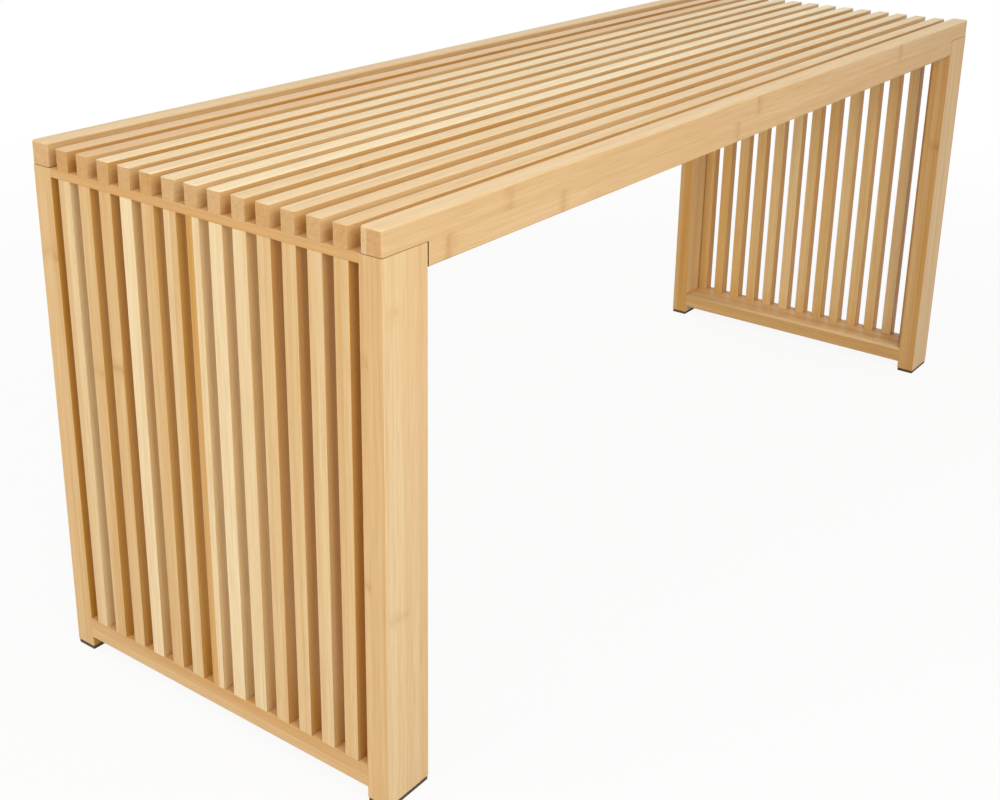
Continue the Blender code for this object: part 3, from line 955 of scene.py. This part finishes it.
class BENCH_OT_panel_slats(bpy.types.Operator):
    """Make the upright slats of both end frames"""

    bl_idname = "bench.panel_slats"
    bl_label = "Panel Slats"

    def execute(self, context):
        sizes = context.scene.bench_sizes
        for end in ENDS:
            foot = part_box(end + "_lower_crossbar")[1].z
            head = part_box(end + "_upper_crossbar")[0].z
            for number, name in enumerate(nodes_named(end + "_panel_slat_"), start=1):
                low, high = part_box(name)
                low.z = foot
                high.z = head
                slat = Board(name, Z, low, high).block()
                outer = low.x if end == "left" else high.x
                inner = high.x if end == "left" else low.x
                slat.round_off(slat.edges(Z, (X, outer)), sizes.slat_round)
                slat.round_off(slat.edges(Z, (X, inner)), sizes.slat_inner_round)
                slat.glue_up(Y, ((high.y - low.y) / 2,))
                if end == "left":
                    node, mark = NEAR_SLAT_NODES.get(number, NO_NODE)
                    # The side that faces the front lies in a gap: its mostly dark tone is in part painted
                    # shade
                    *halves, side, shade_gold = NEAR_SLAT_TONES[number - 1]
                    chosen = {
                        "left": [strip(tone, node, mark=mark) for tone in halves],
                        "front": [strip(side, shade_gold=shade_gold)],
                    }
                else:
                    # The far slats stand in shade: painted shade on their sides that face the front, and the
                    # golden tint painted for the shade
                    chosen = {
                        "left": [strip(FAR_SLAT_TONES[number - 1], shade_gold=FAR_SLAT_SHADE_GOLD)] * 2,
                        "front": [strip("umber", shade_gold=FAR_SLAT_SHADE_GOLD)],
                    }
                slat.finish(context.scene, PANEL_MOOD, chosen)
        return {"FINISHED"}


class BENCH_OT_foot_pads(bpy.types.Operator):
    """Make the thin dark pads under the posts"""

    bl_idname = "bench.foot_pads"
    bl_label = "Foot Pads"

    corner_round = 1.2 * MM
    rim_round = 0.5 * MM

    def execute(self, context):
        made = finishes(context.scene)
        for corner in CORNERS:
            pad = Board(corner + "_foot_pad", Z).block()
            pad.round_off(pad.edges(Z), self.corner_round)
            pad.round_off(pad.end_rims(pad.low.z, pad.high.z), self.rim_round)
            add_piece(pad.node + "_rubber", pad.builder, [made["rubber"]], pad.node)
        return {"FINISHED"}


class BENCH_OT_dowels(bpy.types.Operator):
    """Give the dowels inside the corner joints their beech finish"""

    bl_idname = "bench.dowels"
    bl_label = "Dowels"

    def execute(self, context):
        made = finishes(context.scene)
        for corner in CORNERS:
            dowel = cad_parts[corner + "_dowel"]
            dowel.data.materials.clear()
            dowel.data.materials.append(made["beech"])
        return {"FINISHED"}


class BENCH_OT_stage(bpy.types.Operator):
    """Set the floor, the soft light and the camera"""

    bl_idname = "bench.stage"
    bl_label = "Stage"

    floor_radius = 9.0
    floor_sides = 96
    floor_drop = 0.3 * MM
    camera_place = (-1.18043, -0.74694, 0.72920)
    camera_turn = (70.4841, -1.2693, -54.2778)
    camera_shift = (-0.02663, -0.13021)
    sensor_width = 36.0
    end_box = {"place": (-2.9, 0.7, 1.3), "target": (-0.535, 0.0, 0.25), "size": (1.6, 1.6)}
    side_box = {"place": (-0.75, -1.4, 1.15), "target": (-0.5, -0.18, 0.3), "size": (1.2, 1.0)}

    def execute(self, context):
        scene = context.scene
        stage = scene.bench_stage
        scene.view_settings.view_transform = "Standard"
        self.lay_floor(scene)
        self.light_world(scene, stage)
        self.hang_box(scene, "end soft box", stage.end_power, **self.end_box)
        self.hang_box(scene, "side soft box", stage.side_power, **self.side_box)
        self.set_camera(scene, stage)
        return {"FINISHED"}

    def lay_floor(self, scene):
        builder = bmesh.new()
        bmesh.ops.create_circle(builder, cap_ends=True, segments=self.floor_sides, radius=self.floor_radius)
        bmesh.ops.translate(builder, vec=(0, 0, -self.floor_drop), verts=builder.verts[:])
        mesh = bpy.data.meshes.new("studio_floor")
        builder.to_mesh(mesh)
        builder.free()
        mesh.materials.append(finishes(scene)["floor"])
        floor = bpy.data.objects.new("studio_floor", mesh)
        scene.collection.objects.link(floor)

    def light_world(self, scene, stage):
        world = bpy.data.worlds.new("white studio")
        world.use_nodes = True
        tree = world.node_tree
        tree.nodes.clear()
        direction = add_node(tree, "TexCoord").outputs["Generated"]
        height = add_node(tree, "SeparateXYZ", {0: direction}).outputs[2]
        light = add_node(
            tree, "MapRange", {"Value": height, "To Min": stage.wall_light, "To Max": stage.ceiling_light}
        ).outputs[0]
        strength = add_node(
            tree, "MapRange", {"Value": shown_to_eye(tree), "To Min": light, "To Max": 1.0}
        ).outputs[0]
        sky = add_node(tree, "Background", {"Color": WHITE, "Strength": strength})
        add_node(tree, "OutputWorld", {"Surface": sky.outputs[0]})
        scene.world = world

    def hang_box(self, scene, name, power, place, target, size):
        lamp = bpy.data.lights.new(name, "AREA")
        lamp.shape = "RECTANGLE"
        lamp.size, lamp.size_y = size
        lamp.energy = power
        box = bpy.data.objects.new(name, lamp)
        box.location = place
        box.rotation_euler = (Vector(target) - Vector(place)).to_track_quat("-Z", "Y").to_euler()
        # The white studio already gives the sheen; the lamps add no glints of their own on the edges
        box.visible_glossy = False
        scene.collection.objects.link(box)

    def set_camera(self, scene, stage):
        view = bpy.data.cameras.new("studio camera")
        view.lens = stage.lens
        view.sensor_width = self.sensor_width
        view.shift_x, view.shift_y = self.camera_shift
        camera = bpy.data.objects.new("studio camera", view)
        camera.location = self.camera_place
        camera.rotation_euler = [radians(turn) for turn in self.camera_turn]
        scene.collection.objects.link(camera)
        scene.camera = camera


STEPS = (
    BENCH_OT_side_rails,
    BENCH_OT_seat_slats,
    BENCH_OT_seat_battens,
    BENCH_OT_posts,
    BENCH_OT_crossbars,
    BENCH_OT_panel_slats,
    BENCH_OT_foot_pads,
    BENCH_OT_dowels,
    BENCH_OT_stage,
)


class BENCH_PT_bench(bpy.types.Panel):
    """Lists the bench's pieces in the order in which they are made"""

    bl_label = "Slatted Bamboo Bench"
    bl_idname = "BENCH_PT_bench"
    bl_space_type = "VIEW_3D"
    bl_region_type = "UI"
    bl_category = "Bench"

    def draw(self, context):
        for step in STEPS:
            self.layout.operator(step.bl_idname)
        for group in (context.scene.bench_sizes, context.scene.bench_colours, context.scene.bench_stage):
            column = self.layout.column(align=True)
            for name in group.__annotations__:
                column.prop(group, name)


GROUPS = {"bench_sizes": BenchSizes, "bench_colours": BenchColours, "bench_stage": BenchStage}


def register():
    for group in (*GROUPS.values(), *STEPS, BENCH_PT_bench):
        bpy.utils.register_class(group)
    for name, group in GROUPS.items():
        setattr(bpy.types.Scene, name, PointerProperty(type=group))


def unregister():
    for name in GROUPS:
        delattr(bpy.types.Scene, name)
    for group in (BENCH_PT_bench, *reversed(STEPS), *reversed(GROUPS.values())):
        bpy.utils.unregister_class(group)


def main():
    register()
    bpy.ops.bench.side_rails()
    bpy.ops.bench.seat_slats()
    bpy.ops.bench.seat_battens()
    bpy.ops.bench.posts()
    bpy.ops.bench.crossbars()
    bpy.ops.bench.panel_slats()
    bpy.ops.bench.foot_pads()
    bpy.ops.bench.dowels()
    bpy.ops.bench.stage()


if __name__ == "__main__":
    main()
